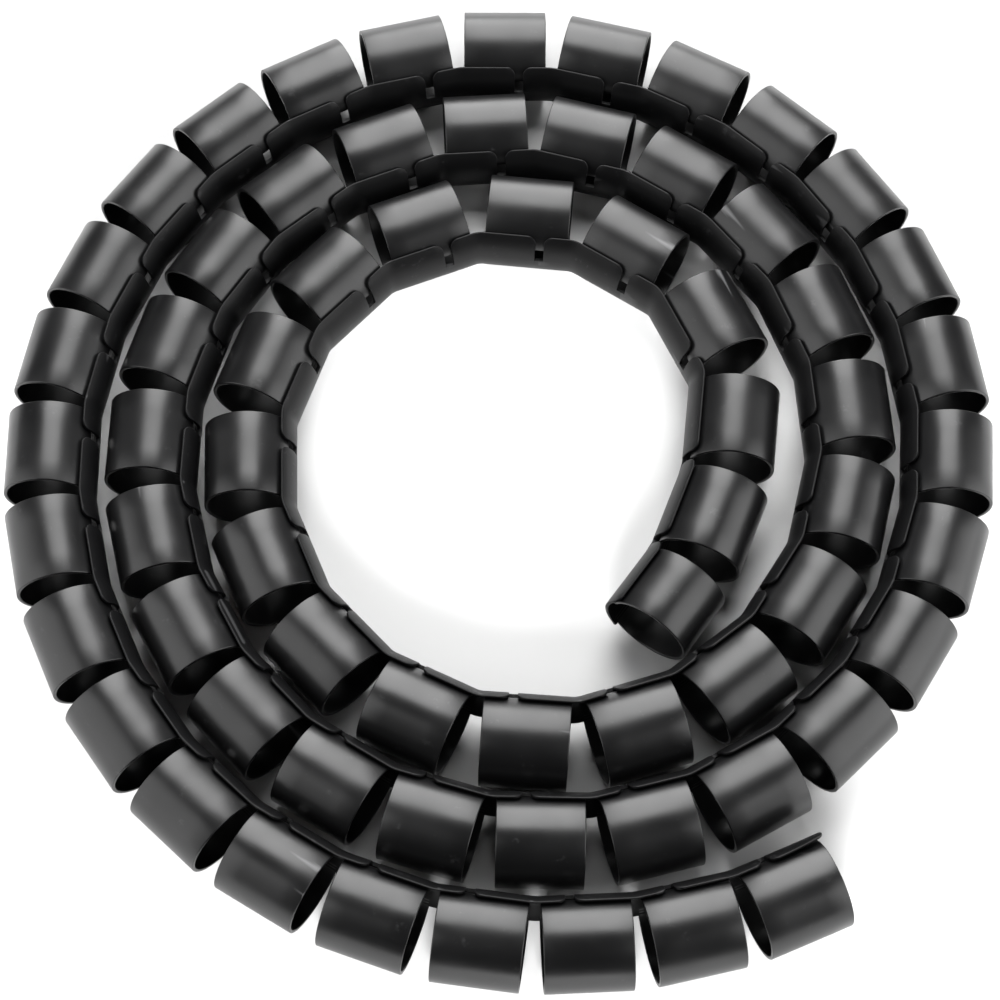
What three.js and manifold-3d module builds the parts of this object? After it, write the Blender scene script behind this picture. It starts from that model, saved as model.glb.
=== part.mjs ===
// Spiral cable wrap: a slit sleeve of short plastic rings that hang on one spine,
// wound up as a flat open coil. Millimetres, +Z up, standing on z = 0.
import * as THREE from "three";
import { mergeVertices } from "three/addons/utils/BufferGeometryUtils.js";
import Module from "manifold-3d";

// The sleeve
const RING_DIAMETER = 23;
const WALL = 0.9;
const RING_COUNT = 65;
const RING_LENGTH = 21.2;
const RING_GAP = 1.9;
const SIDES = 12;

// Round the section, angles start at the spine's face and rise over the sleeve
const SPINE_LOW_ANGLE = -42;
const TAB_TOP_ANGLE = 45;
const RING_TUCK_ANGLE = 25;
const TUCK_CLEARANCE = 0.35;

// Each ring's root, a little thinner than the spine, is sunk into the spine's lower edge
const ROOT_ANGLE = 12;
const ROOT_INSET = 0.08;

// The slits that part the tabs from each other, placed from a ring's middle towards the inner
// end; on the first rings they lie further along
const SLIT_WIDTH = 2.2;
const SLIT_FLOOR_ANGLE = 6;
const SLIT_OFFSET = 3.5;
const FIRST_SLITS_OFFSET = 10.5;
const FIRST_SLITS_RING = 2;
const LATER_SLITS_RING = 4;
const TAB_CORNER = 1.8;

// The coil, from its inner end outwards, measured at the spine's face
const INNER_RADIUS = 40;
const INNER_ANGLE = -5.6;
const TURN_GAP = 0.7;
const TURN_LOOSENING = 0.35;
const STEP_OUT = 6.7;
const STEP_TURNS = 0.14;
const OVAL = 1.3;
const OVAL_ANGLE = 106;

// Both ends run on as wider arcs, and the inner end is cut off through its ring
const INNER_END_RINGS = 2;
const INNER_END_RADIUS = 89;
const INNER_END_CUT = 3.9;
const OUTER_END_RINGS = 3;
const OUTER_END_RADIUS = 128;

const PLASTIC_COLOUR = 0x1b1b1c;
const PLASTIC_ROUGHNESS = 0.42;

const DEG = Math.PI / 180;
const FULL_CIRCLE = 360;
const QUARTER_TURN = 0.25;
const HALVINGS = 40;
const RING_RADIUS = RING_DIAMETER / 2;
const PITCH = RING_LENGTH + RING_GAP;
const SIDE_ANGLE = FULL_CIRCLE / SIDES;
const UP = new THREE.Vector3(0, 0, 1);

const wasm = await Module();
wasm.setup();

// Section

// Distance from the axis to a flat-sided tube that touches a circle of this radius
function facetRadius(radius, angle) {
  const nearestFlat = Math.round(angle / SIDE_ANGLE) * SIDE_ANGLE;
  return radius / Math.cos((angle - nearestFlat) * DEG);
}

// x is the way out from the spine's face, y is the height
function sectionPoint(radius, angle) {
  const reach = facetRadius(radius, angle);
  return new THREE.Vector2(
    RING_RADIUS - reach * Math.cos(angle * DEG),
    RING_RADIUS + reach * Math.sin(angle * DEG),
  );
}

// The tube's corners between two angles, with both angles themselves
function cornersBetween(from, to) {
  const step = Math.sign(to - from);
  const angles = [from];
  const first = (step > 0 ? Math.floor(from / SIDE_ANGLE) : Math.ceil(from / SIDE_ANGLE)) - step;
  for (let i = first; i !== first + step * (SIDES + 3); i += step) {
    const corner = (i + 0.5) * SIDE_ANGLE;
    if ((corner - from) * step > 0 && (to - corner) * step > 0) {
      angles.push(corner);
    }
  }
  angles.push(to);
  return angles;
}

// A band of one wall's thickness, as a closed outline; the inset thins it from both faces
function bandOutline(angles, outerRadiusAt, insetAt = () => 0) {
  const outer = angles.map((angle) => sectionPoint(outerRadiusAt(angle) - insetAt(angle), angle));
  const inner = angles.map((angle) => (
    sectionPoint(outerRadiusAt(angle) - WALL + insetAt(angle), angle)
  ));
  const outline = [...outer, ...inner.reverse()];
  return THREE.ShapeUtils.isClockWise(outline) ? outline.reverse() : outline;
}

// The spine with the tabs above it
function stripOutline() {
  return bandOutline(cornersBetween(SPINE_LOW_ANGLE, TAB_TOP_ANGLE), () => RING_RADIUS);
}

// A ring leaves the spine downwards, goes all the way round and slips in under the tabs
function ringOutline() {
  const outsideAngle = -180 - SIDE_ANGLE / 2;
  const tuckedAngle = TAB_TOP_ANGLE - FULL_CIRCLE;
  const tuck = WALL + TUCK_CLEARANCE;
  const radiusAt = (angle) => {
    const share = (outsideAngle - angle) / (outsideAngle - tuckedAngle);
    return RING_RADIUS - tuck * THREE.MathUtils.clamp(share, 0, 1);
  };
  const insetAt = (angle) => (angle > SPINE_LOW_ANGLE - SIDE_ANGLE ? ROOT_INSET : 0);
  const start = SPINE_LOW_ANGLE + ROOT_ANGLE;
  const end = RING_TUCK_ANGLE - FULL_CIRCLE;
  return bandOutline(cornersBetween(start, end), radiusAt, insetAt);
}

// Coil

// Distance from the coil's middle to the spine's face
function spineRadius(turns) {
  const winding = (RING_DIAMETER + TURN_GAP) * turns + TURN_LOOSENING * turns * (turns - 1);
  const step = STEP_OUT * THREE.MathUtils.smoothstep(turns, 0, STEP_TURNS);
  const aroundOval = 2 * (INNER_ANGLE - OVAL_ANGLE + FULL_CIRCLE * turns) * DEG;
  return INNER_RADIUS + winding + step + OVAL * Math.cos(aroundOval);
}

function spinePoint(turns) {
  const angle = (INNER_ANGLE + FULL_CIRCLE * turns) * DEG;
  return new THREE.Vector2(Math.cos(angle), Math.sin(angle)).multiplyScalar(spineRadius(turns));
}

// The turn at which the straight line from the last bend is one pitch long
function nextBend(turns) {
  let near = turns;
  let far = turns + QUARTER_TURN;
  for (let i = 0; i < HALVINGS; i += 1) {
    const middle = (near + far) / 2;
    if (spinePoint(middle).distanceTo(spinePoint(turns)) < PITCH) {
      near = middle;
    } else {
      far = middle;
    }
  }
  return far;
}

// Bends of an arc that carries on from two bends; a positive turn goes to the left
function arcOn(before, last, radius, count, side) {
  const turn = side * 2 * Math.asin(PITCH / (2 * radius));
  const step = last.clone().sub(before).setLength(PITCH);
  const bends = [];
  let point = last;
  for (let i = 0; i < count; i += 1) {
    step.rotateAround(new THREE.Vector2(), turn);
    point = point.clone().add(step);
    bends.push(point);
  }
  return bends;
}

// All bends of the spine's face, from the inner end to the outer end
function spineBends() {
  const coiled = [spinePoint(0)];
  let turns = 0;
  for (let i = 0; i < RING_COUNT - INNER_END_RINGS - OUTER_END_RINGS; i += 1) {
    turns = nextBend(turns);
    coiled.push(spinePoint(turns));
  }
  const inner = arcOn(coiled[1], coiled[0], INNER_END_RADIUS, INNER_END_RINGS, -1);
  const outer = arcOn(coiled.at(-2), coiled.at(-1), OUTER_END_RADIUS, OUTER_END_RINGS, 1);
  const bends = [...inner.reverse(), ...coiled, ...outer];
  bends[0] = bends[0].clone().lerp(bends[1], INNER_END_CUT / PITCH);
  return bends;
}

// The straight stretch between two bends: its heading, its way out, and the middle of a whole
// ring that ends at the second bend
function stretch(from, to) {
  const heading = to.clone().sub(from).normalize();
  return {
    middle: to.clone().addScaledVector(heading, -PITCH / 2),
    heading,
    outward: new THREE.Vector2(heading.y, -heading.x),
  };
}

// Solids

function toSolid(geometry) {
  const bare = geometry.index ? geometry.toNonIndexed() : geometry;
  bare.deleteAttribute("normal");
  bare.deleteAttribute("uv");
  const merged = mergeVertices(bare, 1e-5);
  return new wasm.Manifold(new wasm.Mesh({
    numProp: 3,
    vertProperties: new Float32Array(merged.attributes.position.array),
    triVerts: new Uint32Array(merged.index.array),
  }));
}

function toGeometry(solid) {
  const mesh = solid.getMesh();
  const geometry = new THREE.BufferGeometry();
  geometry.setAttribute("position", new THREE.BufferAttribute(mesh.vertProperties, 3));
  geometry.setIndex(new THREE.BufferAttribute(mesh.triVerts, 1));
  return geometry;
}

// An outline pushed along a third axis, placed by its own three axes
function prism(outline, depth, xAxis, yAxis, origin) {
  const geometry = new THREE.ExtrudeGeometry(new THREE.Shape(outline), {
    depth,
    bevelEnabled: false,
  });
  const zAxis = xAxis.clone().cross(yAxis);
  const place = new THREE.Matrix4().makeBasis(xAxis, yAxis, zAxis).setPosition(origin);
  return toSolid(geometry.applyMatrix4(place));
}

function flat(vector, height = 0) {
  return new THREE.Vector3(vector.x, vector.y, height);
}

// One ring, straight between two bends, measured back from its outer end
function makeRing(outline, piece, length) {
  const end = piece.middle.clone().addScaledVector(piece.heading, RING_LENGTH / 2);
  return prism(outline, length, flat(piece.outward), UP, flat(end));
}

// One slit: straight up to the tabs' corners, which it cuts off at a slant
function makeSlit(piece, offset) {
  const half = SLIT_WIDTH / 2;
  const floor = sectionPoint(RING_RADIUS, SLIT_FLOOR_ANGLE).y;
  const top = sectionPoint(RING_RADIUS, TAB_TOP_ANGLE).y;
  const outline = [
    new THREE.Vector2(-half, floor),
    new THREE.Vector2(half, floor),
    new THREE.Vector2(half, top - TAB_CORNER),
    new THREE.Vector2(half + 2 * TAB_CORNER, top + TAB_CORNER),
    new THREE.Vector2(-half - 2 * TAB_CORNER, top + TAB_CORNER),
    new THREE.Vector2(-half, top - TAB_CORNER),
  ];
  const start = piece.middle.clone().addScaledVector(piece.heading, -offset);
  start.addScaledVector(piece.outward, -WALL);
  return prism(outline, RING_RADIUS, flat(piece.heading), UP, flat(start));
}

// The strip's outline carried along the bends, mitred at each one
function makeStrip(bends) {
  const outline = stripOutline();
  const corners = outline.length;
  const positions = [];
  bends.forEach((bend, i) => {
    const before = stretch(bends[Math.max(i - 1, 0)], bends[Math.max(i, 1)]);
    const after = stretch(bends[Math.min(i, bends.length - 2)], bends[Math.min(i + 1, bends.length - 1)]);
    const mitre = before.outward.clone().add(after.outward).normalize();
    mitre.divideScalar(mitre.dot(after.outward));
    for (const corner of outline) {
      const point = bend.clone().addScaledVector(mitre, corner.x);
      positions.push(point.x, point.y, corner.y);
    }
  });
  const cap = THREE.ShapeUtils.triangulateShape(outline, []);
  const last = (bends.length - 1) * corners;
  const index = [];
  for (const [a, b, c] of cap) {
    index.push(a, b, c);
    index.push(last + a, last + c, last + b);
  }
  for (let i = 0; i < bends.length - 1; i += 1) {
    for (let j = 0; j < corners; j += 1) {
      const a = i * corners + j;
      const b = i * corners + ((j + 1) % corners);
      index.push(a, a + corners, b);
      index.push(b, a + corners, b + corners);
    }
  }
  const geometry = new THREE.BufferGeometry();
  geometry.setAttribute("position", new THREE.Float32BufferAttribute(positions, 3));
  geometry.setIndex(index);
  return toSolid(geometry);
}

function makeCableWrap() {
  const bends = spineBends();
  const pieces = bends.slice(1).map((bend, i) => stretch(bends[i], bend));
  let wrap = makeStrip(bends);
  pieces.forEach((piece, ring) => {
    if (ring > 0) {
      const later = THREE.MathUtils.smoothstep(ring, FIRST_SLITS_RING, LATER_SLITS_RING);
      const offset = THREE.MathUtils.lerp(FIRST_SLITS_OFFSET, SLIT_OFFSET, later);
      wrap = wrap.subtract(makeSlit(piece, offset));
    }
  });
  const outline = ringOutline();
  pieces.forEach((piece, ring) => {
    const length = ring > 0 ? RING_LENGTH : RING_LENGTH - INNER_END_CUT;
    wrap = wrap.add(makeRing(outline, piece, length));
  });
  const geometry = toGeometry(wrap);
  geometry.computeBoundingBox();
  const middle = geometry.boundingBox.getCenter(new THREE.Vector3());
  geometry.translate(-middle.x, -middle.y, -geometry.boundingBox.min.z);
  geometry.computeVertexNormals();
  const plastic = new THREE.MeshStandardMaterial({
    color: PLASTIC_COLOUR,
    roughness: PLASTIC_ROUGHNESS,
    metalness: 0,
    flatShading: true,
  });
  const mesh = new THREE.Mesh(geometry, plastic);
  mesh.name = "cable_wrap";
  return mesh;
}

const part = new THREE.Group();
part.add(makeCableWrap());

export default part;
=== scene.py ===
"""Spiral cable wrap: the finished look of a slit sleeve of plastic rings that hang on one spine,
wound up as a flat open coil and lying on a pale studio floor.

Every surface is a function of two parameters on a grid, worked out in metres with numpy."""

import math

import bpy
import numpy as np
from bpy.props import FloatProperty, FloatVectorProperty, IntProperty, PointerProperty
from mathutils import Matrix, Vector


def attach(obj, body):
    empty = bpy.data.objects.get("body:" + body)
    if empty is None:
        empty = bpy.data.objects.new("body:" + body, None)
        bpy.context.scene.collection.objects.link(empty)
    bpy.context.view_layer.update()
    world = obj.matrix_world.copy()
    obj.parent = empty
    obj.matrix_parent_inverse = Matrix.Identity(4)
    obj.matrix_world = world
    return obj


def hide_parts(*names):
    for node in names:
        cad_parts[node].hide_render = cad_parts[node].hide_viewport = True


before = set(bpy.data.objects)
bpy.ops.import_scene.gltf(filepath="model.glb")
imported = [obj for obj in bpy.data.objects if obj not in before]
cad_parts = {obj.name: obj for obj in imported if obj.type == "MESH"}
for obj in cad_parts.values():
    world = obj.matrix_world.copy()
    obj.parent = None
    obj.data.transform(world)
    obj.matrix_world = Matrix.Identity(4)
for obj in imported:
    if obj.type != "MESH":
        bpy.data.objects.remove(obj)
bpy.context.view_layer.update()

bl_info = {
    "name": "Spiral Cable Wrap",
    "version": (1, 0, 0),
    "blender": (4, 5, 0),
    "location": "3D View > Sidebar > Cable Wrap",
    "description": "Builds a coiled spiral cable wrap and its studio, piece by piece",
    "category": "Mesh",
}

NODE = "cable_wrap"
BODY = "root"
MM = 0.001

# Small forms
FREE_END_ROUND = 0.45 * MM    # a ring's free end thins to its rounded edge over this length
ROOT_SINK = 0.02 * MM         # a ring's root lies this far below the spine's face
SEAM_ROUND = 0.004 * MM       # rounding where two slabs of the spine meet without a slit
SLIT_STEP = 0.02 * MM         # half the height over which a slit opens at its floor
LEAST_RING_END = 0.06         # square of the thickness left at a ring's free end, as a share
LEAST_TAB_EDGE = 0.05         # the same at a tab's upper edge
MOST_ROUNDING = 0.9           # a slab's rounding, at most, as a share of half its thickness
FLARE_POWER = 1.5             # how late the end's flare sets in up the last tab
SLIT_CHANGE_FROM = 2          # ring at which the slits start to move towards the rings' middles
SLIT_CHANGE_RINGS = 2         # rings that this takes
SHIFT_SEED = 4                # of the rings' random shifts

# Fineness of the surfaces
RING_ROWS = 74                # round a ring, up to its rounded end
RING_END_ROWS = 5             # along that end
EDGE_POINTS = 4               # along each rounded edge
RING_POINTS = 5               # along each flat face of a ring
LOW_ROWS = 12                 # up the spine, below the slits
TAB_ROWS = 8                  # up a tab, below its corners
CORNER_ROWS = 12              # up a tab's corners
SLAB_POINTS = 9               # along a slab, and the same again round a bend
SLAB_INSET = 1.1              # where they start, as a share of half a slit and a corner
BEND_REACH = 0.6              # how far they go each way from a bend, as a share of a ring gap
SMOOTH_LIMIT = math.radians(40.0)

# Search for the spine's bends
SEARCH_TURNS = 0.25           # the next bend lies within this share of a turn
HALVINGS = 40

# Studio
FLOOR_DROP = 0.05 * MM        # the floor lies this far below the coil
FLOOR_ROUGHNESS = 0.7
FLOOR_SPECULAR = 0.2
KEY_SIDEWAYS = 0.02           # the key light's step to the right, as a share of its distance
CAMERA_AIM = Vector((0.015, -2.002, 0.0)) * MM
SENSOR_WIDTH = 36.0           # in millimetres, like the focal length
VIEW_END = 50.0               # nothing farther than this from the camera is shown


# Sizes and colours

def length(name, text, value, top=1.0):
    """A distance in metres, shown in the scene's own unit."""
    return FloatProperty(
        name=name, description=text, default=value, min=0.0, max=top,
        subtype="DISTANCE", unit="LENGTH", precision=5,
    )


def angle(name, text, degrees):
    """An angle, kept in radians and shown in degrees."""
    return FloatProperty(
        name=name, description=text, default=math.radians(degrees),
        subtype="ANGLE", unit="ROTATION",
    )


def colour(name, text, value):
    """A linear colour."""
    return FloatVectorProperty(
        name=name, description=text, default=value, size=3, min=0.0, max=1.0, subtype="COLOR",
    )


def share(name, text, value, top=1.0):
    """A plain number without a unit."""
    return FloatProperty(name=name, description=text, default=value, min=0.0, max=top)


def whole_number(name, text, value):
    """A whole number."""
    return IntProperty(name=name, description=text, default=value, min=0)


class SleeveSettings(bpy.types.PropertyGroup):
    """The slit sleeve, seen in its section and along one ring."""

    ring_diameter: length("Ring diameter", "Outside of a ring", 23.0 * MM)
    wall: length("Wall", "Thickness of rings, spine and tabs", 0.9 * MM)
    ring_count: whole_number("Rings", "Number of rings on the spine", 65)
    ring_length: length("Ring length", "Length of one ring along the sleeve", 21.2 * MM)
    ring_gap: length("Ring gap", "Gap from one ring to the next", 1.9 * MM)
    edge_round: length("Edge rounding", "Rounding of the moulded edges", 0.24 * MM)
    spine_low: angle("Spine's lower edge", "Where the rings leave the spine", -42.0)
    tab_top: angle("Tabs' upper edge", "How far the tabs reach up round the rings", 45.0)
    root: angle("Ring root", "Where a ring starts, inside the spine", -30.0)
    tuck_start: angle("Tuck start", "Where a ring's free end starts to draw in", -196.0)
    tuck_end: angle("Tuck end", "Where it lies fully under the tabs", -315.0)
    free_end: angle("Free end", "Where a ring ends under the tabs", -341.0)
    tuck_clearance: length("Tuck clearance", "Gap between tabs and the ring below", 0.35 * MM)
    slit_width: length("Slit width", "Slit between two tabs", 2.2 * MM)
    slit_offset: length("Slit offset", "From a ring's middle towards the inner end", 3.5 * MM)
    first_slits_offset: length("First slits' offset", "The same on the first rings", 10.5 * MM)
    slit_floor: angle("Slit floor", "Where the slits end in the spine", 6.0)
    tab_corner: length("Tab corner", "Rounding of the tabs' upper corners", 2.2 * MM)
    tab_edge: length("Tab edge", "Thickness of the tabs at their upper edge", 0.62 * MM)
    tab_round: length("Tab rounding", "Rounding of the tabs' edges", 0.14 * MM)
    end_flare: length("End flare", "How far the last tab stands off at the outer end", 1.1 * MM)
    ring_shift: length("Ring shift", "Largest random shift of a ring along the spine", 0.16 * MM)


class CoilSettings(bpy.types.PropertyGroup):
    """The coil, from its inner end outwards, measured at the spine's face."""

    inner_radius: length("Inner radius", "Radius at the inner end", 40.0 * MM)
    inner_angle: angle("Inner angle", "Direction of the inner end from the middle", -5.6)
    turn_gap: length("Turn gap", "Clearance between turns", 0.7 * MM)
    turn_loosening: length("Turn loosening", "Extra clearance that grows outwards", 0.35 * MM)
    step_out: length("Step out", "Step outwards at the start of the coil", 6.7 * MM)
    step_turns: share("Step turns", "Share of a turn in which the step is made", 0.14)
    oval: length("Oval", "How far the coil departs from round", 1.3 * MM)
    oval_angle: angle("Oval angle", "Direction of the oval's long side", 106.0)
    inner_end_rings: whole_number("Inner end rings", "Rings on the inner arc", 2)
    inner_end_radius: length("Inner end radius", "Radius of the inner arc", 89.0 * MM)
    inner_end_cut: length("Inner end cut", "How much the innermost ring is cut short", 3.9 * MM)
    outer_end_rings: whole_number("Outer end rings", "Rings on the outer arc", 3)
    outer_end_radius: length("Outer end radius", "Radius of the outer arc", 128.0 * MM)
    second_turn: whole_number("Second turn", "First ring of the second turn", 15)
    outer_turn: whole_number("Outer turn", "First ring of the outer turn", 36)


class FinishSettings(bpy.types.PropertyGroup):
    """The satin black plastic."""

    ring_colour: colour("Ring colour", "Colour of the rings", (0.0045, 0.0045, 0.0048))
    spine_colour: colour("Spine colour", "Colour of the spine and tabs", (0.0038, 0.0038, 0.0041))
    # Painted highlight: this light colour is laid as a thin line along every sharp edge, besides
    # the random scuffs
    scuff_and_highlight_colour: colour("Scuff colour", "Colour of rubbed edges", (0.12, 0.12, 0.123))
    ring_roughness: share("Ring roughness", "Gloss of the rings", 0.34)
    spine_roughness: share("Spine roughness", "Gloss of the spine", 0.44)
    ring_specular: share("Ring specular", "Strength of the rings' reflections", 0.5)
    spine_specular: share("Spine specular", "Strength of the spine's reflections", 0.2)
    ring_grain: share("Ring grain", "Depth of the rings' fine grain", 0.25)
    spine_grain: share("Spine grain", "Depth of the spine's fine grain", 0.35)
    # Painted highlight: how strongly that light line is laid along the sharp edges of the rings and
    # the spine
    ring_edge_highlight: share("Ring wear", "How much the rings' edges are rubbed", 0.9)
    spine_edge_highlight: share("Spine wear", "How much the spine's edges are rubbed", 0.3)


class StudioSettings(bpy.types.PropertyGroup):
    """Floor, lights and camera."""

    floor_colour: colour("Floor colour", "Pale studio floor", (0.40, 0.40, 0.40))
    floor_size: length("Floor size", "Side of the floor", 8.0, 20.0)
    world_strength: share("World strength", "Light from all around", 0.03, 10.0)
    key_power: share("Key power", "Large soft light behind and above, in watts", 14.0, 1000.0)
    key_angle: angle("Key angle", "From straight up towards the far side", 50.0)
    key_distance: length("Key distance", "From the coil's middle to the light", 0.75, 5.0)
    key_width: length("Key width", "Across the coil", 0.56, 5.0)
    key_height: length("Key height", "From low behind to high above", 0.98, 5.0)
    right_power: share("Right panel power", "Dim tall panel at the right, in watts", 12.6, 1000.0)
    right_angle: angle("Right panel angle", "Round the coil, from the right", -15.0)
    right_height: length("Right panel height", "From the floor up", 1.28, 5.0)
    left_power: share("Left panel power", "Dim tall panel at the left, in watts", 12.6, 1000.0)
    left_angle: angle("Left panel angle", "Round the coil, from the right", -165.0)
    left_height: length("Left panel height", "From the floor up", 1.9, 5.0)
    panel_distance: length("Panel distance", "From the coil's middle to both panels", 0.8, 5.0)
    panel_width: length("Panel width", "Width of both panels", 0.92, 5.0)
    floor_light: share("Floor light", "For the floor alone, in watts a square metre", 16.5, 1000.0)
    floor_light_up: angle("Floor light angle", "From the floor up, on the near side", 26.0)
    floor_light_soft: angle("Floor light softness", "How wide this light looks", 30.0)
    camera_distance: length("Camera distance", "From the aim to the camera", 819.5 * MM, 5.0)
    camera_tilt: angle("Camera tilt", "From straight down towards the near side", 23.195)
    camera_roll: angle("Camera roll", "Turn about the line of sight", 0.951)
    camera_lens: FloatProperty(name="Lens", description="Focal length in mm", default=117.306)


# The coil

def smoothstep(x):
    """Rises from 0 to 1 as 3 x squared - 2 x cubed, and stays level before and after."""
    x = np.clip(x, 0.0, 1.0)
    return x * x * (3 - 2 * x)


def spine_point(coil, diameter, turns):
    """Radius = inner radius + (ring diameter + turn gap) x turns + loosening x turns x (turns - 1)
    + a smooth step + an oval's cosine; the angle grows by a full circle with each turn."""
    around = coil.inner_angle + math.tau * turns
    radius = (
        coil.inner_radius + (diameter + coil.turn_gap) * turns
        + coil.turn_loosening * turns * (turns - 1)
        + coil.step_out * smoothstep(turns / coil.step_turns)
        + coil.oval * np.cos(2 * (around - coil.oval_angle))
    )
    return np.array([radius * np.cos(around), radius * np.sin(around)])


def next_bend(coil, diameter, pitch, turns):
    """The turn at which the chord from the last bend is one pitch long, found by halving."""
    near, far, start = turns, turns + SEARCH_TURNS, spine_point(coil, diameter, turns)
    for _ in range(HALVINGS):
        middle = (near + far) / 2
        if np.linalg.norm(spine_point(coil, diameter, middle) - start) < pitch:
            near = middle
        else:
            far = middle
    return far


def arc_on(before, last, pitch, radius, count, side):
    """Equal chords that carry on from two bends; each turns by twice asin(pitch / 2 radius)."""
    turn = side * 2 * math.asin(pitch / (2 * radius))
    heading = math.atan2(*(last - before)[::-1])
    angles = heading + turn * np.arange(1, count + 1)
    steps = pitch * np.stack([np.cos(angles), np.sin(angles)], axis=1)
    return last + np.cumsum(steps, axis=0)


def spine_bends(sleeve, coil):
    """All bends of the spine's face from the inner end to the outer end, one pitch apart."""
    pitch = sleeve.ring_length + sleeve.ring_gap
    turns, coiled = 0.0, [spine_point(coil, sleeve.ring_diameter, 0.0)]
    for _ in range(sleeve.ring_count - coil.inner_end_rings - coil.outer_end_rings):
        turns = next_bend(coil, sleeve.ring_diameter, pitch, turns)
        coiled.append(spine_point(coil, sleeve.ring_diameter, turns))
    coiled = np.array(coiled)
    inner = arc_on(coiled[1], coiled[0], pitch, coil.inner_end_radius, coil.inner_end_rings, -1)
    outer = arc_on(coiled[-2], coiled[-1], pitch, coil.outer_end_radius, coil.outer_end_rings, 1)
    return np.concatenate([inner[::-1], coiled, outer])


class Path:
    """The spine's face as stretches of one pitch, with the coil's middle brought to the origin."""

    def __init__(self, sleeve, coil):
        """All bends, less the middle of the box that holds bends and rings seen from above."""
        bends = spine_bends(sleeve, coil)
        self.pitch = sleeve.ring_length + sleeve.ring_gap
        self.gap = sleeve.ring_gap
        heading, outward = self.directions(bends)
        half = heading * sleeve.ring_length / 2
        middle = (bends[1:] + bends[:-1]) / 2
        across = outward * sleeve.ring_diameter
        reach = np.concatenate([
            bends, middle - half, middle + half, middle - half + across, middle + half + across,
        ])
        self.bends = bends - (reach.min(axis=0) + reach.max(axis=0)) / 2
        self.heading, self.outward = heading, outward
        self.middle = (self.bends[1:] + self.bends[:-1]) / 2

    @staticmethod
    def directions(bends):
        """Heading of each stretch, and the direction away from the coil's middle."""
        step = np.diff(bends, axis=0)
        heading = step / np.linalg.norm(step, axis=1, keepdims=True)
        return heading, np.stack([heading[:, 1], -heading[:, 0]], axis=1)

    def at(self, distance):
        """Point and outward direction at a distance along the spine. Between rings the corner is
        rounded as a quadratic curve with the bend as its middle control point."""
        last = len(self.heading) - 1
        bend = np.rint(distance / self.pitch).astype(int)
        before = np.clip(bend - 1, 0, last)
        after = np.clip(bend, 0, last)
        offset = distance - bend * self.pitch
        corner = self.bends[bend]
        h0, h1 = self.heading[before], self.heading[after]
        reach = self.gap / 2
        t = np.clip((offset + reach) / self.gap, 0.0, 1.0)[..., None]
        start, finish = corner - reach * h0, corner + reach * h1
        curve = (1 - t) ** 2 * start + 2 * t * (1 - t) * corner + t ** 2 * finish
        curve = curve + np.minimum(offset + reach, 0.0)[..., None] * h0
        curve = curve + np.maximum(offset - reach, 0.0)[..., None] * h1
        heading = (1 - t) * h0 + t * h1
        heading = heading / np.linalg.norm(heading, axis=-1, keepdims=True)
        return curve, np.stack([heading[..., 1], -heading[..., 0]], axis=-1)


# Surfaces

def rounded(x, least):
    """Rises from the least to 1 as a quarter circle: the root of 1 - (1 - x) squared."""
    return np.sqrt(np.clip(1 - (1 - np.clip(x, 0, 1)) ** 2, least, 1))


def band_loop(half_length, half_wall, corner):
    """Once round a flat bar with rounded corners: straight sides joined by quarter circles.
    Returns (along, through) with through positive on the outer face, anticlockwise."""
    quarter = np.linspace(0.0, math.pi / 2, EDGE_POINTS)
    sides = np.linspace(-1.0, 1.0, RING_POINTS)[1:-1] * (half_length - corner)
    cx, cy = half_length - corner, half_wall - corner
    along, through = [], []
    for turn, (sx, sy) in enumerate(((1, -1), (1, 1), (-1, 1), (-1, -1))):
        a = quarter + (turn - 1) * math.pi / 2
        along.append(sx * cx + corner * np.cos(a))
        through.append(sy * cy + corner * np.sin(a))
        if turn == 1:
            along.append(sides[::-1])
            through.append(np.full(len(sides), half_wall))
        if turn == 3:
            along.append(sides)
            through.append(np.full(len(sides), -half_wall))
    return np.concatenate(along), np.concatenate(through)


def grid_faces(rows, columns, first=0):
    """Quads of a grid whose columns close on themselves, with a flat end at both sides."""
    i, j = np.meshgrid(np.arange(rows - 1), np.arange(columns), indexing="ij")
    k = (j + 1) % columns
    here, above = i * columns, (i + 1) * columns
    quads = np.stack([here + j, here + k, above + k, above + j], axis=-1)
    quads = (quads.reshape(-1, 4) + first).tolist()
    start = list(range(first + columns - 1, first - 1, -1))
    finish = list(range(first + (rows - 1) * columns, first + rows * columns))
    return quads + [start, finish]


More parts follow.
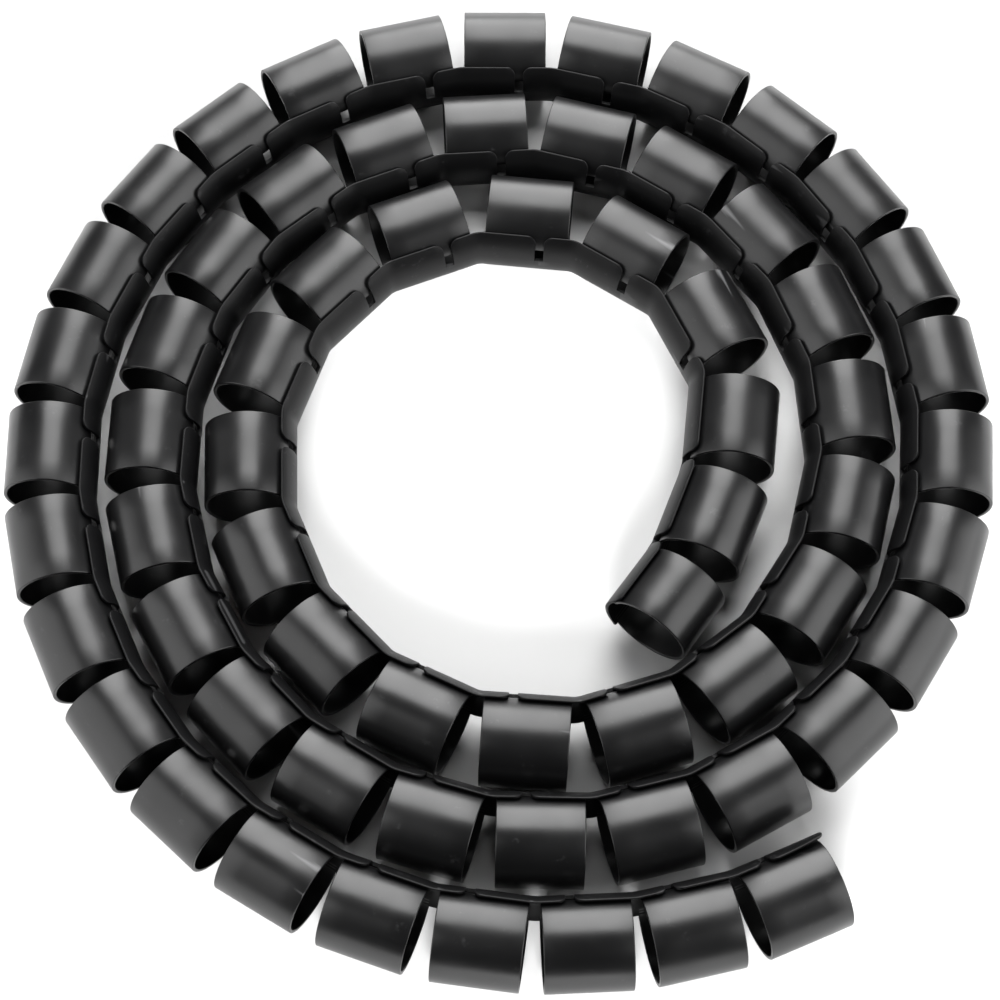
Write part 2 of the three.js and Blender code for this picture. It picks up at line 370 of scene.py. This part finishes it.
def ring_surfaces(sleeve, path, rings, cut, rng):
    """A ring is a rounded flat bar carried round the section: at each angle the bar's middle
    lies at the ring's radius, which draws in smoothly by the wall and its clearance where the
    free end slips in under the tabs. The first ring is shorter by the cut at its inner end.
    Grid: angle x once round the bar."""
    radius = sleeve.ring_diameter / 2
    wall = sleeve.wall
    last = FREE_END_ROUND / radius
    quarter = np.linspace(0.0, math.pi / 2, RING_END_ROWS)[1:]
    angles = np.concatenate([
        np.linspace(sleeve.root, sleeve.free_end + last, RING_ROWS),
        sleeve.free_end + last * (1 - np.sin(quarter)),
    ])
    tuck = smoothstep((sleeve.tuck_start - angles) / (sleeve.tuck_start - sleeve.tuck_end))
    outer = radius - tuck * (wall + sleeve.tuck_clearance)
    hidden = np.where(angles > sleeve.spine_low, ROOT_SINK, 0.0)
    thin = rounded((angles - sleeve.free_end) / last, LEAST_RING_END) * (1 - 2 * hidden / wall)
    whole, through = band_loop(sleeve.ring_length / 2, wall / 2, sleeve.edge_round)
    cut_short, _ = band_loop((sleeve.ring_length - cut) / 2, wall / 2, sleeve.edge_round)
    reach = (outer - hidden - wall / 2)[:, None] + through[None] * thin[:, None]
    x = radius - reach * np.cos(angles)[:, None]
    z = radius + reach * np.sin(angles)[:, None]
    points, faces = [], []
    rows, columns = x.shape
    for ring in rings:
        along = whole + rng.uniform(-1, 1) * sleeve.ring_shift
        if ring == 0:
            along = cut_short + cut / 2
        heading, outward = path.heading[ring], path.outward[ring]
        flat = path.middle[ring] + along[None, :, None] * heading + x[..., None] * outward
        faces += grid_faces(rows, columns, len(points) * rows * columns)
        points.append(np.concatenate([flat, z[..., None]], axis=-1).reshape(-1, 3))
    return np.concatenate(points), faces


def tab_rows(sleeve):
    """Angles of a tab's rows, half the open width beside a slit and half the thickness at each
    row. The width is nothing below the slits' floor, then half the slit's, and opens at the top
    along a quarter circle. The thickness falls evenly from the wall to the tab's edge, and to
    nothing along a half circle at the very top."""
    radius = sleeve.ring_diameter / 2
    step = SLIT_STEP / radius
    corner = sleeve.tab_corner
    top = sleeve.tab_top
    start = top - corner / radius
    quarter = np.linspace(0.0, math.pi / 2, CORNER_ROWS)[1:]
    angles = np.concatenate([
        np.linspace(sleeve.spine_low, sleeve.slit_floor - step, LOW_ROWS),
        np.linspace(sleeve.slit_floor + step, start, TAB_ROWS),
        top - corner / radius * (1 - np.sin(quarter)),
    ])
    below = (top - angles) * radius
    left = np.clip(corner - below, 0.0, corner)
    open_half = np.where(angles > sleeve.slit_floor, sleeve.slit_width / 2, 0.0)
    open_half = open_half + corner - np.sqrt(corner ** 2 - left ** 2)
    up = np.clip((angles - sleeve.slit_floor) / (top - sleeve.slit_floor), 0.0, 1.0)
    thick = sleeve.wall + (sleeve.tab_edge - sleeve.wall) * up
    round_off = rounded(below / (sleeve.tab_edge / 2), LEAST_TAB_EDGE)
    return angles, open_half, thick, round_off


def slit_places(sleeve, path):
    """Distances of all slits along the spine. Each lies its offset before a ring's middle; the
    offset goes along a smooth step from the first rings' to all others'. The first ring of all
    has no slit."""
    ring = np.arange(1, sleeve.ring_count)
    later = smoothstep((ring - SLIT_CHANGE_FROM) / SLIT_CHANGE_RINGS)
    offset = sleeve.first_slits_offset * (1 - later) + sleeve.slit_offset * later
    return (ring + 0.5) * path.pitch - offset


def slab_edge(limit, edge, half, side, face):
    """A quarter circle at one of a slab's four long edges. Along the slab it is the limit less
    the rounding, plus the rounding's cosine; through it, half the thickness less the rounding,
    plus the rounding's sine. Side and face give the signs."""
    quarter = np.linspace(0.0, math.pi / 2, EDGE_POINTS)
    a = quarter if side * face > 0 else quarter[::-1]
    s = (limit - side * edge)[:, None] + side * edge[:, None] * np.cos(a)
    r = face * ((half - edge)[:, None] + edge[:, None] * np.sin(a))
    return s, r


def spine_surfaces(sleeve, path, tabs, cut):
    """The spine with its tabs, one slab from slit to slit: a loop once round the slab, outer
    face, rounded edge, inner face, rounded edge, carried up the section from the spine's lower
    edge to the tabs' upper edge. The last tab stands off by the flare, times the square of the
    share of the way to the outer end, times a power of the share of the way up the tab."""
    radius = sleeve.ring_diameter / 2
    whole = sleeve.ring_count * path.pitch
    angles, open_half, thick, round_off = tab_rows(sleeve)
    edges = np.concatenate([[cut], slit_places(sleeve, path), [whole]])
    last = len(edges) - 2
    corner_only = np.where(angles > sleeve.slit_floor, open_half - sleeve.slit_width / 2, 0.0)
    half = thick / 2 * round_off
    middle = radius - thick / 2
    inset = SLAB_INSET * (sleeve.slit_width / 2 + sleeve.tab_corner)
    points, faces, made = [], [], 0
    for tab in tabs:
        low, high = edges[tab], edges[tab + 1]
        open_low = open_half if tab > 0 else corner_only
        open_high = open_half if tab < last else corner_only
        start, finish = low + open_low, high - open_high
        bend = (np.floor(low / path.pitch) + 1) * path.pitch
        near, far = low + inset, high - inset
        inner = [np.linspace(near, far, SLAB_POINTS)]
        if near < bend < far:
            inner.append(bend + np.linspace(-BEND_REACH, BEND_REACH, SLAB_POINTS) * path.gap)
        inner = np.unique(np.concatenate(inner))
        inner = inner[(inner >= near) & (inner <= far)]
        inner = np.broadcast_to(inner, (len(angles), len(inner)))
        edge_low = np.where((open_low > 0) | (tab == 0), sleeve.tab_round, SEAM_ROUND)
        edge_high = np.where((open_high > 0) | (tab == last), sleeve.tab_round, SEAM_ROUND)
        edge_low = np.minimum(edge_low, half * MOST_ROUNDING)
        edge_high = np.minimum(edge_high, half * MOST_ROUNDING)
        flat = np.broadcast_to(half[:, None], inner.shape)
        pieces = [
            slab_edge(finish, edge_high, half, 1, -1), slab_edge(finish, edge_high, half, 1, 1),
            (inner[:, ::-1], flat),
            slab_edge(start, edge_low, half, -1, 1), slab_edge(start, edge_low, half, -1, -1),
            (inner, -flat),
        ]
        s = np.concatenate([p[0] for p in pieces], axis=1)
        r = np.concatenate([p[1] for p in pieces], axis=1)
        reach = middle[:, None] + r
        if tab == last:
            up = np.clip((angles - sleeve.slit_floor) / (sleeve.tab_top - sleeve.slit_floor), 0, 1)
            out = np.clip((s - low) / (whole - low), 0, 1)
            reach = reach + sleeve.end_flare * up[:, None] ** FLARE_POWER * out ** 2
        face, outward = path.at(s)
        x = radius - reach * np.cos(angles)[:, None]
        z = radius + reach * np.sin(angles)[:, None]
        flat_points = face + x[..., None] * outward
        rows, columns = s.shape
        faces += grid_faces(rows, columns, made)
        made += rows * columns
        points.append(np.concatenate([flat_points, z[..., None]], axis=-1).reshape(-1, 3))
    return np.concatenate(points), faces


def new_object(name, points, faces, material):
    """A mesh in its place, its object at the origin. Faces point outwards."""
    mesh = bpy.data.meshes.new(name)
    mesh.from_pydata(points.tolist(), [], faces)
    if mesh.validate():
        raise RuntimeError(f"{name} has faces that Blender had to repair")
    mesh.polygons.foreach_set("use_smooth", np.ones(len(mesh.polygons), dtype=bool))
    mesh.set_sharp_from_angle(angle=SMOOTH_LIMIT)
    mesh.materials.append(material)
    piece = bpy.data.objects.new(name, mesh)
    bpy.context.scene.collection.objects.link(piece)
    return piece


def dress(piece):
    """The piece stands for the wrap's node and rides on its body."""
    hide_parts(NODE)
    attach(piece, BODY)


# Materials

def node(tree, kind, at, **inputs):
    """A shader node in its place, with its sockets' values."""
    made = tree.nodes.new(kind)
    made.location = at
    for key, value in inputs.items():
        made.inputs[key.replace("_", " ")].default_value = value
    return made


def moulded_surface():
    """Group: the moulded plastic's slight unevenness. Soft cloudy patches and a fine grain give
    a roughness and a height, and small scuffs give a mask."""
    name = "Moulded surface"
    if name in bpy.data.node_groups:
        return bpy.data.node_groups[name]
    group = bpy.data.node_groups.new(name, "ShaderNodeTree")
    face = group.interface
    inputs = {"Roughness": 0.36, "Patch depth": 0.05, "Grain": 0.3, "Scuffs": 0.2}
    for label, value in inputs.items():
        socket = face.new_socket(label, in_out="INPUT", socket_type="NodeSocketFloat")
        socket.default_value = value
    for label in ("Roughness", "Height", "Scuff mask"):
        face.new_socket(label, in_out="OUTPUT", socket_type="NodeSocketFloat")
    link = group.links.new
    start = group.nodes.new("NodeGroupInput")
    start.location = (-900, 0)
    finish = group.nodes.new("NodeGroupOutput")
    finish.location = (700, 0)
    place = node(group, "ShaderNodeTexCoord", (-1100, 300))
    patches = node(group, "ShaderNodeTexNoise", (-700, 300), Scale=55.0, Detail=3.0, Roughness=0.55)
    grain = node(group, "ShaderNodeTexNoise", (-700, 50), Scale=2600.0, Detail=2.0, Roughness=0.6)
    marks = node(group, "ShaderNodeTexNoise", (-700, -250), Scale=240.0, Detail=6.0, Roughness=0.72)
    for texture in (patches, grain, marks):
        link(place.outputs["Object"], texture.inputs["Vector"])
    spread = node(group, "ShaderNodeMapRange", (-450, 300))
    spread.inputs["From Min"].default_value = 0.3
    spread.inputs["From Max"].default_value = 0.7
    spread.inputs["To Min"].default_value = -1.0
    link(patches.outputs["Fac"], spread.inputs["Value"])
    depth = node(group, "ShaderNodeMath", (-200, 300))
    depth.operation = "MULTIPLY"
    link(spread.outputs["Result"], depth.inputs[0])
    link(start.outputs["Patch depth"], depth.inputs[1])
    rough = node(group, "ShaderNodeMath", (50, 300))
    rough.operation = "ADD"
    link(depth.outputs[0], rough.inputs[0])
    link(start.outputs["Roughness"], rough.inputs[1])
    link(rough.outputs[0], finish.inputs["Roughness"])
    height = node(group, "ShaderNodeMath", (-200, 50))
    height.operation = "MULTIPLY_ADD"
    link(grain.outputs["Fac"], height.inputs[0])
    link(start.outputs["Grain"], height.inputs[1])
    link(patches.outputs["Fac"], height.inputs[2])
    link(height.outputs[0], finish.inputs["Height"])
    rare = node(group, "ShaderNodeMapRange", (-450, -250))
    rare.inputs["From Min"].default_value = 0.62
    rare.inputs["From Max"].default_value = 0.74
    link(marks.outputs["Fac"], rare.inputs["Value"])
    mask = node(group, "ShaderNodeMath", (-200, -250))
    mask.operation = "MULTIPLY"
    link(rare.outputs["Result"], mask.inputs[0])
    link(start.outputs["Scuffs"], mask.inputs[1])
    link(mask.outputs[0], finish.inputs["Scuff mask"])
    return group


def painted_edge_highlights():
    """Group: a mask that is bright where the surface turns sharply, for a painted highlight along
    the edges.
    """
    name = "Rubbed edges"
    if name in bpy.data.node_groups:
        return bpy.data.node_groups[name]
    group = bpy.data.node_groups.new(name, "ShaderNodeTree")
    socket = group.interface.new_socket("Amount", in_out="INPUT", socket_type="NodeSocketFloat")
    socket.default_value = 0.5
    group.interface.new_socket("Mask", in_out="OUTPUT", socket_type="NodeSocketFloat")
    link = group.links.new
    start = group.nodes.new("NodeGroupInput")
    start.location = (-600, -200)
    finish = group.nodes.new("NodeGroupOutput")
    finish.location = (400, 0)
    shape = node(group, "ShaderNodeNewGeometry", (-600, 100))
    rise = node(group, "ShaderNodeMapRange", (-350, 100))
    rise.inputs["From Min"].default_value = 0.53
    rise.inputs["From Max"].default_value = 0.62
    link(shape.outputs["Pointiness"], rise.inputs["Value"])
    mask = node(group, "ShaderNodeMath", (-50, 0))
    mask.operation = "MULTIPLY"
    link(rise.outputs["Result"], mask.inputs[0])
    link(start.outputs["Amount"], mask.inputs[1])
    link(mask.outputs[0], finish.inputs["Mask"])
    return group


def plastic(name, base, scuff_and_highlight, roughness, specular, grain, edge_highlight):
    """Satin black plastic: an even dark colour, lighter at random scuffs and with a painted
    highlight along every sharp edge, with the moulded surface's roughness and a faint bump."""
    material = bpy.data.materials.new(name)
    material.use_nodes = True
    tree = material.node_tree
    tree.nodes.clear()
    link = tree.links.new
    out = node(tree, "ShaderNodeOutputMaterial", (700, 0))
    shader = node(tree, "ShaderNodeBsdfPrincipled", (400, 0), Specular_IOR_Level=specular)
    surface = node(tree, "ShaderNodeGroup", (-400, 0))
    surface.node_tree = moulded_surface()
    surface.inputs["Roughness"].default_value = roughness
    surface.inputs["Grain"].default_value = grain
    # Painted highlight: a thin light line of the scuff colour along every sharp edge
    edges = node(tree, "ShaderNodeGroup", (-400, 300))
    edges.node_tree = painted_edge_highlights()
    edges.inputs["Amount"].default_value = edge_highlight
    # The painted edge highlight and the random scuffs, whichever is stronger
    both = node(tree, "ShaderNodeMath", (-150, 250))
    both.operation = "MAXIMUM"
    link(edges.outputs["Mask"], both.inputs[0])
    link(surface.outputs["Scuff mask"], both.inputs[1])
    mix = node(tree, "ShaderNodeMix", (100, 250))
    mix.data_type = "RGBA"
    mix.inputs["A"].default_value = (*base, 1.0)
    mix.inputs["B"].default_value = (*scuff_and_highlight, 1.0)
    link(both.outputs[0], mix.inputs["Factor"])
    bump = node(tree, "ShaderNodeBump", (100, -200), Strength=0.12, Distance=0.08 * MM)
    link(surface.outputs["Height"], bump.inputs["Height"])
    link(mix.outputs["Result"], shader.inputs["Base Color"])
    link(surface.outputs["Roughness"], shader.inputs["Roughness"])
    link(bump.outputs["Normal"], shader.inputs["Normal"])
    link(shader.outputs["BSDF"], out.inputs["Surface"])
    return material


# Operators

def turns_of(sleeve, coil):
    """The rings of each turn of the coil, from the inner end outwards."""
    return {
        "inner_turn": range(0, coil.second_turn),
        "second_turn": range(coil.second_turn, coil.outer_turn),
        "outer_turn": range(coil.outer_turn, sleeve.ring_count),
    }


class WRAP_OT_rings(bpy.types.Operator):
    """Builds all rings, one object for each turn of the coil"""

    bl_idname = "cable_wrap.rings"
    bl_label = "Rings"

    def execute(self, context):
        sleeve, coil = context.scene.wrap_sleeve, context.scene.wrap_coil
        finish = context.scene.wrap_finish
        path = Path(sleeve, coil)
        rng = np.random.default_rng(SHIFT_SEED)
        material = plastic(
            "Ring plastic", finish.ring_colour, finish.scuff_and_highlight_colour,
            finish.ring_roughness, finish.ring_specular, finish.ring_grain, finish.ring_edge_highlight,
        )
        for turn, rings in turns_of(sleeve, coil).items():
            points, faces = ring_surfaces(sleeve, path, rings, coil.inner_end_cut, rng)
            dress(new_object(f"rings_{turn}", points, faces, material))
        return {"FINISHED"}


class WRAP_OT_spine(bpy.types.Operator):
    """Builds the spine with its tabs, one object for each turn of the coil"""

    bl_idname = "cable_wrap.spine"
    bl_label = "Spine and tabs"

    def execute(self, context):
        sleeve, coil = context.scene.wrap_sleeve, context.scene.wrap_coil
        finish = context.scene.wrap_finish
        path = Path(sleeve, coil)
        material = plastic(
            "Spine plastic", finish.spine_colour, finish.scuff_and_highlight_colour,
            finish.spine_roughness, finish.spine_specular, finish.spine_grain, finish.spine_edge_highlight,
        )
        for turn, tabs in turns_of(sleeve, coil).items():
            points, faces = spine_surfaces(sleeve, path, tabs, coil.inner_end_cut)
            dress(new_object(f"spine_{turn}", points, faces, material))
        return {"FINISHED"}


class WRAP_OT_studio(bpy.types.Operator):
    """Builds the pale floor, the soft lights and the camera"""

    bl_idname = "cable_wrap.studio"
    bl_label = "Studio"

    def execute(self, context):
        scene, studio = context.scene, context.scene.wrap_studio
        floor = self.floor(studio)
        self.lights(scene, studio, floor)
        self.camera(scene, studio)
        scene.view_settings.view_transform = "Standard"
        return {"FINISHED"}

    def floor(self, studio):
        """A flat square at the height on which the coil lies."""
        half = studio.floor_size / 2
        across = np.array([[-1, -1], [1, -1], [1, 1], [-1, 1]]) * half
        points = np.column_stack([across, np.full(4, -FLOOR_DROP)])
        material = bpy.data.materials.new("Studio floor")
        material.use_nodes = True
        shader = material.node_tree.nodes["Principled BSDF"]
        shader.inputs["Base Color"].default_value = (*studio.floor_colour, 1.0)
        shader.inputs["Roughness"].default_value = FLOOR_ROUGHNESS
        shader.inputs["Specular IOR Level"].default_value = FLOOR_SPECULAR
        floor = new_object("studio_floor", points, [[0, 1, 2, 3]], material)
        return floor

    def lights(self, scene, studio, floor):
        """Even light from all around, one large soft light above and behind, a dim tall panel
        at each side, and a low soft sun in front that only the floor receives."""
        world = bpy.data.worlds.new("Studio light")
        world.use_nodes = True
        sky = world.node_tree.nodes["Background"]
        sky.inputs["Color"].default_value = (1.0, 1.0, 1.0, 1.0)
        sky.inputs["Strength"].default_value = studio.world_strength
        scene.world = world
        tilt, size = studio.key_angle, (studio.key_width, studio.key_height)
        at = studio.key_distance * Vector((KEY_SIDEWAYS, math.sin(tilt), math.cos(tilt)))
        self.area(scene, "key_light", at, Vector(), size, studio.key_power)
        for name, around, height, power in (
            ("right_panel", studio.right_angle, studio.right_height, studio.right_power),
            ("left_panel", studio.left_angle, studio.left_height, studio.left_power),
        ):
            aim = Vector((0.0, 0.0, height / 2))
            out = Vector((math.cos(around), math.sin(around), 0.0))
            at = aim + studio.panel_distance * out
            self.area(scene, name, at, aim, (studio.panel_width, height), power)
        sun = bpy.data.lights.new("floor_light", "SUN")
        sun.energy = studio.floor_light
        sun.angle = studio.floor_light_soft
        low = bpy.data.objects.new("floor_light", sun)
        low.matrix_world = Matrix.Rotation(math.pi / 2 - studio.floor_light_up, 4, "X")
        lit = bpy.data.collections.new("Under floor light")
        lit.objects.link(floor)
        low.light_linking.receiver_collection = lit
        scene.collection.objects.link(low)

    def area(self, scene, name, at, aim, size, power):
        """A rectangular soft light that looks at its aim and stays out of the picture."""
        light = bpy.data.lights.new(name, "AREA")
        light.shape = "RECTANGLE"
        light.size, light.size_y = size
        light.energy = power
        lamp = bpy.data.objects.new(name, light)
        lamp.matrix_world = (
            Matrix.Translation(at) @ (aim - at).to_track_quat("-Z", "Y").to_matrix().to_4x4()
        )
        lamp.visible_camera = False
        scene.collection.objects.link(lamp)

    def camera(self, scene, studio):
        """On a line tilted from straight down, turned a little about its own line of sight."""
        lens = bpy.data.cameras.new("camera")
        lens.sensor_width = SENSOR_WIDTH
        lens.lens = studio.camera_lens
        lens.clip_end = VIEW_END
        eye = bpy.data.objects.new("camera", lens)
        tilt, roll = studio.camera_tilt, studio.camera_roll
        back = Vector((0.0, -math.sin(tilt), math.cos(tilt))) * studio.camera_distance
        turn = Matrix.Rotation(tilt, 4, "X") @ Matrix.Rotation(roll, 4, "Z")
        eye.matrix_world = Matrix.Translation(CAMERA_AIM + back) @ turn
        scene.collection.objects.link(eye)
        scene.camera = eye


class VIEW3D_PT_cable_wrap(bpy.types.Panel):
    """Sizes, colours and the steps that build the wrap"""

    bl_label = "Spiral Cable Wrap"
    bl_space_type = "VIEW_3D"
    bl_region_type = "UI"
    bl_category = "Cable Wrap"

    def draw(self, context):
        layout = self.layout
        for step in STEPS:
            layout.operator(step)
        for name, title in SETTINGS:
            box = layout.box()
            box.label(text=title)
            group = getattr(context.scene, name)
            for key in group.__annotations__:
                box.prop(group, key)


STEPS = ("cable_wrap.rings", "cable_wrap.spine", "cable_wrap.studio")
SETTINGS = (
    ("wrap_sleeve", "Sleeve"), ("wrap_coil", "Coil"),
    ("wrap_finish", "Finish"), ("wrap_studio", "Studio"),
)
CLASSES = (
    SleeveSettings, CoilSettings, FinishSettings, StudioSettings,
    WRAP_OT_rings, WRAP_OT_spine, WRAP_OT_studio, VIEW3D_PT_cable_wrap,
)


def register():
    """Adds the classes and hangs the settings on the scene."""
    for made in CLASSES:
        bpy.utils.register_class(made)
    bpy.types.Scene.wrap_sleeve = PointerProperty(type=SleeveSettings)
    bpy.types.Scene.wrap_coil = PointerProperty(type=CoilSettings)
    bpy.types.Scene.wrap_finish = PointerProperty(type=FinishSettings)
    bpy.types.Scene.wrap_studio = PointerProperty(type=StudioSettings)


def unregister():
    """Takes the settings and the classes away again."""
    for name, _ in SETTINGS:
        delattr(bpy.types.Scene, name)
    for made in reversed(CLASSES):
        bpy.utils.unregister_class(made)


def main():
    """Builds the wrap and its studio."""
    register()
    bpy.ops.cable_wrap.rings()
    bpy.ops.cable_wrap.spine()
    bpy.ops.cable_wrap.studio()
    bpy.context.view_layer.update()


if __name__ == "__main__":
    main()
